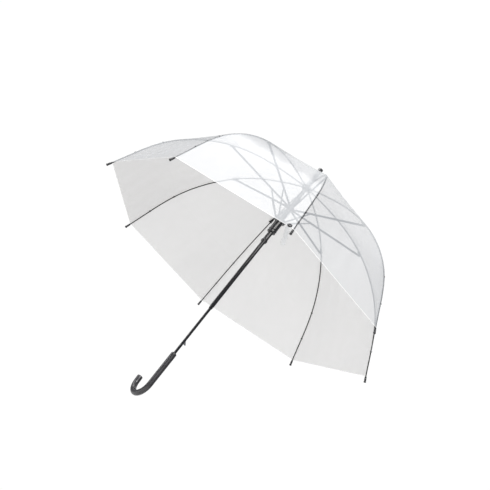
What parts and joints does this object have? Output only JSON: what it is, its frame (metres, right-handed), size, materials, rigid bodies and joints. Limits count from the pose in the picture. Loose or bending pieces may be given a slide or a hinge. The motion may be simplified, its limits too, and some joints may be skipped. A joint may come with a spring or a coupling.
{
  "type": "dome umbrella",
  "caption": "Open clear dome umbrella with straight rim edges, jointed black ribs, two sliding runners on a slim shaft and a crook handle; it folds down along the shaft.",
  "frame": {"origin": "on the shaft's axis in the middle of the straight grip", "axes": "+Z along the shaft towards the ferrule; the crook bends towards +X"},
  "size_m": [0.8482, 0.8482, 0.8248],
  "materials": {
    "canopy_film": "clear soft film, glossy",
    "strap_film": "clear film strip, doubled",
    "rib_rod": "black lacquered rod",
    "stretcher_rod": "black lacquered rod",
    "shaft_black": "black lacquered tube, semi-gloss",
    "fitting_black": "black moulded plastic, semi-gloss",
    "grip_black": "black moulded grip, gloss",
    "snap_black": "black press stud, gloss",
    "spring_steel": "spring steel"
  },
  "bodies": {
    "root": {"lower_shaft": "shaft_black", "upper_tube": "shaft_black", "crook_handle": "grip_black", "ferrule": "fitting_black", "top_notch": "fitting_black"},
    "runner": {"upper_runner": "fitting_black", "drive_spring": "spring_steel"},
    "drive": {"drive_runner": "fitting_black"},
    "catch": {"catch_lever": "spring_steel"},
    "rib_root_1": {"rib_root_1": "rib_rod"},
    "rib_mid_1": {"rib_mid_1": "rib_rod", "canopy_gore_1": "canopy_film"},
    "rib_tip_1": {"rib_tip_1": "rib_rod"},
    "stretcher_1": {"stretcher_1": "stretcher_rod"},
    "brace_1": {"brace_1": "stretcher_rod"},
    "rib_root_2": {"rib_root_2": "rib_rod"},
    "rib_mid_2": {"rib_mid_2": "rib_rod", "canopy_gore_2": "canopy_film"},
    "rib_tip_2": {"rib_tip_2": "rib_rod"},
    "stretcher_2": {"stretcher_2": "stretcher_rod"},
    "brace_2": {"brace_2": "stretcher_rod"},
    "rib_root_3": {"rib_root_3": "rib_rod"},
    "rib_mid_3": {"rib_mid_3": "rib_rod", "canopy_gore_3": "canopy_film"},
    "rib_tip_3": {"rib_tip_3": "rib_rod"},
    "stretcher_3": {"stretcher_3": "stretcher_rod"},
    "brace_3": {"brace_3": "stretcher_rod"},
    "rib_root_4": {"rib_root_4": "rib_rod"},
    "rib_mid_4": {"rib_mid_4": "rib_rod", "canopy_gore_4": "canopy_film"},
    "rib_tip_4": {"rib_tip_4": "rib_rod", "closing_strap": "strap_film", "strap_snap": "snap_black"},
    "stretcher_4": {"stretcher_4": "stretcher_rod"},
    "brace_4": {"brace_4": "stretcher_rod"},
    "rib_root_5": {"rib_root_5": "rib_rod"},
    "rib_mid_5": {"rib_mid_5": "rib_rod", "canopy_gore_5": "canopy_film"},
    "rib_tip_5": {"rib_tip_5": "rib_rod"},
    "stretcher_5": {"stretcher_5": "stretcher_rod"},
    "brace_5": {"brace_5": "stretcher_rod"},
    "rib_root_6": {"rib_root_6": "rib_rod"},
    "rib_mid_6": {"rib_mid_6": "rib_rod", "canopy_gore_6": "canopy_film"},
    "rib_tip_6": {"rib_tip_6": "rib_rod"},
    "stretcher_6": {"stretcher_6": "stretcher_rod"},
    "brace_6": {"brace_6": "stretcher_rod"},
    "rib_root_7": {"rib_root_7": "rib_rod"},
    "rib_mid_7": {"rib_mid_7": "rib_rod", "canopy_gore_7": "canopy_film"},
    "rib_tip_7": {"rib_tip_7": "rib_rod"},
    "stretcher_7": {"stretcher_7": "stretcher_rod"},
    "brace_7": {"brace_7": "stretcher_rod"},
    "rib_root_8": {"rib_root_8": "rib_rod"},
    "rib_mid_8": {"rib_mid_8": "rib_rod", "canopy_gore_8": "canopy_film"},
    "rib_tip_8": {"rib_tip_8": "rib_rod"},
    "stretcher_8": {"stretcher_8": "stretcher_rod"},
    "brace_8": {"brace_8": "stretcher_rod"}
  },
  "joints": [
    {"name": "runner_slide", "type": "slide", "parent": "root", "child": "runner", "axis": [0, 0, -1], "range_m": [0, 0.38242], "stiffness_N_per_m": 60, "springref_m": -0.35, "deforming": ["canopy_gore_1", "canopy_gore_2", "canopy_gore_3", "canopy_gore_4", "canopy_gore_5", "canopy_gore_6", "canopy_gore_7", "canopy_gore_8", "closing_strap", "drive_spring"]},
    {"name": "drive_slide", "type": "slide", "parent": "runner", "child": "drive", "axis": [0, 0, 1], "range_m": [0, 0.0314]},
    {"name": "rib_root_1_hinge", "type": "hinge", "parent": "root", "child": "rib_root_1", "pos_m": [0.0097, 0.00402, 0.658], "axis": [-0.3827, 0.9239, 0], "range_deg": [0, 75.14]},
    {"name": "rib_knee_1_hinge", "type": "hinge", "parent": "rib_root_1", "child": "rib_mid_1", "pos_m": [0.22035, 0.09127, 0.608], "axis": [-0.3827, 0.9239, 0], "range_deg": [-26.87, 0]},
    {"name": "rib_elbow_1_hinge", "type": "hinge", "parent": "rib_mid_1", "child": "rib_tip_1", "pos_m": [0.35015, 0.14504, 0.487], "axis": [-0.3827, 0.9239, 0], "range_deg": [-24.04, 0]},
    {"name": "stretcher_1_hinge", "type": "hinge", "parent": "runner", "child": "stretcher_1", "pos_m": [0.00878, 0.00364, 0.578], "axis": [-0.3827, 0.9239, 0], "range_deg": [-80.65, 0]},
    {"name": "brace_1_hinge", "type": "hinge", "parent": "drive", "child": "brace_1", "pos_m": [0.0134, 0.00555, 0.5295], "axis": [-0.3827, 0.9239, 0], "range_deg": [-47.93, 0]},
    {"name": "rib_root_2_hinge", "type": "hinge", "parent": "root", "child": "rib_root_2", "pos_m": [0.00402, 0.0097, 0.658], "axis": [-0.9239, 0.3827, 0], "range_deg": [0, 75.14]},
    {"name": "rib_knee_2_hinge", "type": "hinge", "parent": "rib_root_2", "child": "rib_mid_2", "pos_m": [0.09127, 0.22035, 0.608], "axis": [-0.9239, 0.3827, 0], "range_deg": [-26.87, 0]},
    {"name": "rib_elbow_2_hinge", "type": "hinge", "parent": "rib_mid_2", "child": "rib_tip_2", "pos_m": [0.14504, 0.35015, 0.487], "axis": [-0.9239, 0.3827, 0], "range_deg": [-24.04, 0]},
    {"name": "stretcher_2_hinge", "type": "hinge", "parent": "runner", "child": "stretcher_2", "pos_m": [0.00364, 0.00878, 0.578], "axis": [-0.9239, 0.3827, 0], "range_deg": [-80.65, 0]},
    {"name": "brace_2_hinge", "type": "hinge", "parent": "drive", "child": "brace_2", "pos_m": [0.00555, 0.0134, 0.5295], "axis": [-0.9239, 0.3827, 0], "range_deg": [-47.93, 0]},
    {"name": "rib_root_3_hinge", "type": "hinge", "parent": "root", "child": "rib_root_3", "pos_m": [-0.00402, 0.0097, 0.658], "axis": [-0.9239, -0.3827, 0], "range_deg": [0, 75.14]},
    {"name": "rib_knee_3_hinge", "type": "hinge", "parent": "rib_root_3", "child": "rib_mid_3", "pos_m": [-0.09127, 0.22035, 0.608], "axis": [-0.9239, -0.3827, 0], "range_deg": [-26.87, 0]},
    {"name": "rib_elbow_3_hinge", "type": "hinge", "parent": "rib_mid_3", "child": "rib_tip_3", "pos_m": [-0.14504, 0.35015, 0.487], "axis": [-0.9239, -0.3827, 0], "range_deg": [-24.04, 0]},
    {"name": "stretcher_3_hinge", "type": "hinge", "parent": "runner", "child": "stretcher_3", "pos_m": [-0.00364, 0.00878, 0.578], "axis": [-0.9239, -0.3827, 0], "range_deg": [-80.65, 0]},
    {"name": "brace_3_hinge", "type": "hinge", "parent": "drive", "child": "brace_3", "pos_m": [-0.00555, 0.0134, 0.5295], "axis": [-0.9239, -0.3827, 0], "range_deg": [-47.93, 0]},
    {"name": "rib_root_4_hinge", "type": "hinge", "parent": "root", "child": "rib_root_4", "pos_m": [-0.0097, 0.00402, 0.658], "axis": [-0.3827, -0.9239, 0], "range_deg": [0, 75.14]},
    {"name": "rib_knee_4_hinge", "type": "hinge", "parent": "rib_root_4", "child": "rib_mid_4", "pos_m": [-0.22035, 0.09127, 0.608], "axis": [-0.3827, -0.9239, 0], "range_deg": [-26.87, 0]},
    {"name": "rib_elbow_4_hinge", "type": "hinge", "parent": "rib_mid_4", "child": "rib_tip_4", "pos_m": [-0.35015, 0.14504, 0.487], "axis": [-0.3827, -0.9239, 0], "range_deg": [-24.04, 0]},
    {"name": "stretcher_4_hinge", "type": "hinge", "parent": "runner", "child": "stretcher_4", "pos_m": [-0.00878, 0.00364, 0.578], "axis": [-0.3827, -0.9239, 0], "range_deg": [-80.65, 0]},
    {"name": "brace_4_hinge", "type": "hinge", "parent": "drive", "child": "brace_4", "pos_m": [-0.0134, 0.00555, 0.5295], "axis": [-0.3827, -0.9239, 0], "range_deg": [-47.93, 0]},
    {"name": "rib_root_5_hinge", "type": "hinge", "parent": "root", "child": "rib_root_5", "pos_m": [-0.0097, -0.00402, 0.658], "axis": [0.3827, -0.9239, 0], "range_deg": [0, 75.14]},
    {"name": "rib_knee_5_hinge", "type": "hinge", "parent": "rib_root_5", "child": "rib_mid_5", "pos_m": [-0.22035, -0.09127, 0.608], "axis": [0.3827, -0.9239, 0], "range_deg": [-26.87, 0]},
    {"name": "rib_elbow_5_hinge", "type": "hinge", "parent": "rib_mid_5", "child": "rib_tip_5", "pos_m": [-0.35015, -0.14504, 0.487], "axis": [0.3827, -0.9239, 0], "range_deg": [-24.04, 0]},
    {"name": "stretcher_5_hinge", "type": "hinge", "parent": "runner", "child": "stretcher_5", "pos_m": [-0.00878, -0.00364, 0.578], "axis": [0.3827, -0.9239, 0], "range_deg": [-80.65, 0]},
    {"name": "brace_5_hinge", "type": "hinge", "parent": "drive", "child": "brace_5", "pos_m": [-0.0134, -0.00555, 0.5295], "axis": [0.3827, -0.9239, 0], "range_deg": [-47.93, 0]},
    {"name": "rib_root_6_hinge", "type": "hinge", "parent": "root", "child": "rib_root_6", "pos_m": [-0.00402, -0.0097, 0.658], "axis": [0.9239, -0.3827, 0], "range_deg": [0, 75.14]},
    {"name": "rib_knee_6_hinge", "type": "hinge", "parent": "rib_root_6", "child": "rib_mid_6", "pos_m": [-0.09127, -0.22035, 0.608], "axis": [0.9239, -0.3827, 0], "range_deg": [-26.87, 0]},
    {"name": "rib_elbow_6_hinge", "type": "hinge", "parent": "rib_mid_6", "child": "rib_tip_6", "pos_m": [-0.14504, -0.35015, 0.487], "axis": [0.9239, -0.3827, 0], "range_deg": [-24.04, 0]},
    {"name": "stretcher_6_hinge", "type": "hinge", "parent": "runner", "child": "stretcher_6", "pos_m": [-0.00364, -0.00878, 0.578], "axis": [0.9239, -0.3827, 0], "range_deg": [-80.65, 0]},
    {"name": "brace_6_hinge", "type": "hinge", "parent": "drive", "child": "brace_6", "pos_m": [-0.00555, -0.0134, 0.5295], "axis": [0.9239, -0.3827, 0], "range_deg": [-47.93, 0]},
    {"name": "rib_root_7_hinge", "type": "hinge", "parent": "root", "child": "rib_root_7", "pos_m": [0.00402, -0.0097, 0.658], "axis": [0.9239, 0.3827, 0], "range_deg": [0, 75.14]},
    {"name": "rib_knee_7_hinge", "type": "hinge", "parent": "rib_root_7", "child": "rib_mid_7", "pos_m": [0.09127, -0.22035, 0.608], "axis": [0.9239, 0.3827, 0], "range_deg": [-26.87, 0]},
    {"name": "rib_elbow_7_hinge", "type": "hinge", "parent": "rib_mid_7", "child": "rib_tip_7", "pos_m": [0.14504, -0.35015, 0.487], "axis": [0.9239, 0.3827, 0], "range_deg": [-24.04, 0]},
    {"name": "stretcher_7_hinge", "type": "hinge", "parent": "runner", "child": "stretcher_7", "pos_m": [0.00364, -0.00878, 0.578], "axis": [0.9239, 0.3827, 0], "range_deg": [-80.65, 0]},
    {"name": "brace_7_hinge", "type": "hinge", "parent": "drive", "child": "brace_7", "pos_m": [0.00555, -0.0134, 0.5295], "axis": [0.9239, 0.3827, 0], "range_deg": [-47.93, 0]},
    {"name": "rib_root_8_hinge", "type": "hinge", "parent": "root", "child": "rib_root_8", "pos_m": [0.0097, -0.00402, 0.658], "axis": [0.3827, 0.9239, 0], "range_deg": [0, 75.14]},
    {"name": "rib_knee_8_hinge", "type": "hinge", "parent": "rib_root_8", "child": "rib_mid_8", "pos_m": [0.22035, -0.09127, 0.608], "axis": [0.3827, 0.9239, 0], "range_deg": [-26.87, 0]},
    {"name": "rib_elbow_8_hinge", "type": "hinge", "parent": "rib_mid_8", "child": "rib_tip_8", "pos_m": [0.35015, -0.14504, 0.487], "axis": [0.3827, 0.9239, 0], "range_deg": [-24.04, 0]},
    {"name": "stretcher_8_hinge", "type": "hinge", "parent": "runner", "child": "stretcher_8", "pos_m": [0.00878, -0.00364, 0.578], "axis": [0.3827, 0.9239, 0], "range_deg": [-80.65, 0]},
    {"name": "brace_8_hinge", "type": "hinge", "parent": "drive", "child": "brace_8", "pos_m": [0.0134, -0.00555, 0.5295], "axis": [0.3827, 0.9239, 0], "range_deg": [-47.93, 0]},
    {"name": "catch_press", "type": "hinge", "parent": "root", "child": "catch", "pos_m": [0, -0.0021, 0.113], "axis": [1, 0, 0], "range_deg": [0, 11], "stiffness_Nm_per_rad": 0.05, "springref_deg": -8.59}
  ],
  "couplings": [
    {"joint": "drive_slide", "follows": "runner_slide", "ratio": 0.081879},
    {"joint": "rib_root_1_hinge", "follows": "runner_slide", "rad_per_m": 3.4289},
    {"joint": "rib_knee_1_hinge", "follows": "runner_slide", "rad_per_m": -1.2262},
    {"joint": "rib_elbow_1_hinge", "follows": "runner_slide", "rad_per_m": -1.0972},
    {"joint": "stretcher_1_hinge", "follows": "runner_slide", "rad_per_m": -3.6806},
    {"joint": "brace_1_hinge", "follows": "runner_slide", "rad_per_m": -2.1872},
    {"joint": "rib_root_2_hinge", "follows": "runner_slide", "rad_per_m": 3.4289},
    {"joint": "rib_knee_2_hinge", "follows": "runner_slide", "rad_per_m": -1.2262},
    {"joint": "rib_elbow_2_hinge", "follows": "runner_slide", "rad_per_m": -1.0972},
    {"joint": "stretcher_2_hinge", "follows": "runner_slide", "rad_per_m": -3.6806},
    {"joint": "brace_2_hinge", "follows": "runner_slide", "rad_per_m": -2.1872},
    {"joint": "rib_root_3_hinge", "follows": "runner_slide", "rad_per_m": 3.4289},
    {"joint": "rib_knee_3_hinge", "follows": "runner_slide", "rad_per_m": -1.2262},
    {"joint": "rib_elbow_3_hinge", "follows": "runner_slide", "rad_per_m": -1.0972},
    {"joint": "stretcher_3_hinge", "follows": "runner_slide", "rad_per_m": -3.6806},
    {"joint": "brace_3_hinge", "follows": "runner_slide", "rad_per_m": -2.1872},
    {"joint": "rib_root_4_hinge", "follows": "runner_slide", "rad_per_m": 3.4289},
    {"joint": "rib_knee_4_hinge", "follows": "runner_slide", "rad_per_m": -1.2262},
    {"joint": "rib_elbow_4_hinge", "follows": "runner_slide", "rad_per_m": -1.0972},
    {"joint": "stretcher_4_hinge", "follows": "runner_slide", "rad_per_m": -3.6806},
    {"joint": "brace_4_hinge", "follows": "runner_slide", "rad_per_m": -2.1872},
    {"joint": "rib_root_5_hinge", "follows": "runner_slide", "rad_per_m": 3.4289},
    {"joint": "rib_knee_5_hinge", "follows": "runner_slide", "rad_per_m": -1.2262},
    {"joint": "rib_elbow_5_hinge", "follows": "runner_slide", "rad_per_m": -1.0972},
    {"joint": "stretcher_5_hinge", "follows": "runner_slide", "rad_per_m": -3.6806},
    {"joint": "brace_5_hinge", "follows": "runner_slide", "rad_per_m": -2.1872},
    {"joint": "rib_root_6_hinge", "follows": "runner_slide", "rad_per_m": 3.4289},
    {"joint": "rib_knee_6_hinge", "follows": "runner_slide", "rad_per_m": -1.2262},
    {"joint": "rib_elbow_6_hinge", "follows": "runner_slide", "rad_per_m": -1.0972},
    {"joint": "stretcher_6_hinge", "follows": "runner_slide", "rad_per_m": -3.6806},
    {"joint": "brace_6_hinge", "follows": "runner_slide", "rad_per_m": -2.1872},
    {"joint": "rib_root_7_hinge", "follows": "runner_slide", "rad_per_m": 3.4289},
    {"joint": "rib_knee_7_hinge", "follows": "runner_slide", "rad_per_m": -1.2262},
    {"joint": "rib_elbow_7_hinge", "follows": "runner_slide", "rad_per_m": -1.0972},
    {"joint": "stretcher_7_hinge", "follows": "runner_slide", "rad_per_m": -3.6806},
    {"joint": "brace_7_hinge", "follows": "runner_slide", "rad_per_m": -2.1872},
    {"joint": "rib_root_8_hinge", "follows": "runner_slide", "rad_per_m": 3.4289},
    {"joint": "rib_knee_8_hinge", "follows": "runner_slide", "rad_per_m": -1.2262},
    {"joint": "rib_elbow_8_hinge", "follows": "runner_slide", "rad_per_m": -1.0972},
    {"joint": "stretcher_8_hinge", "follows": "runner_slide", "rad_per_m": -3.6806},
    {"joint": "brace_8_hinge", "follows": "runner_slide", "rad_per_m": -2.1872}
  ]
}
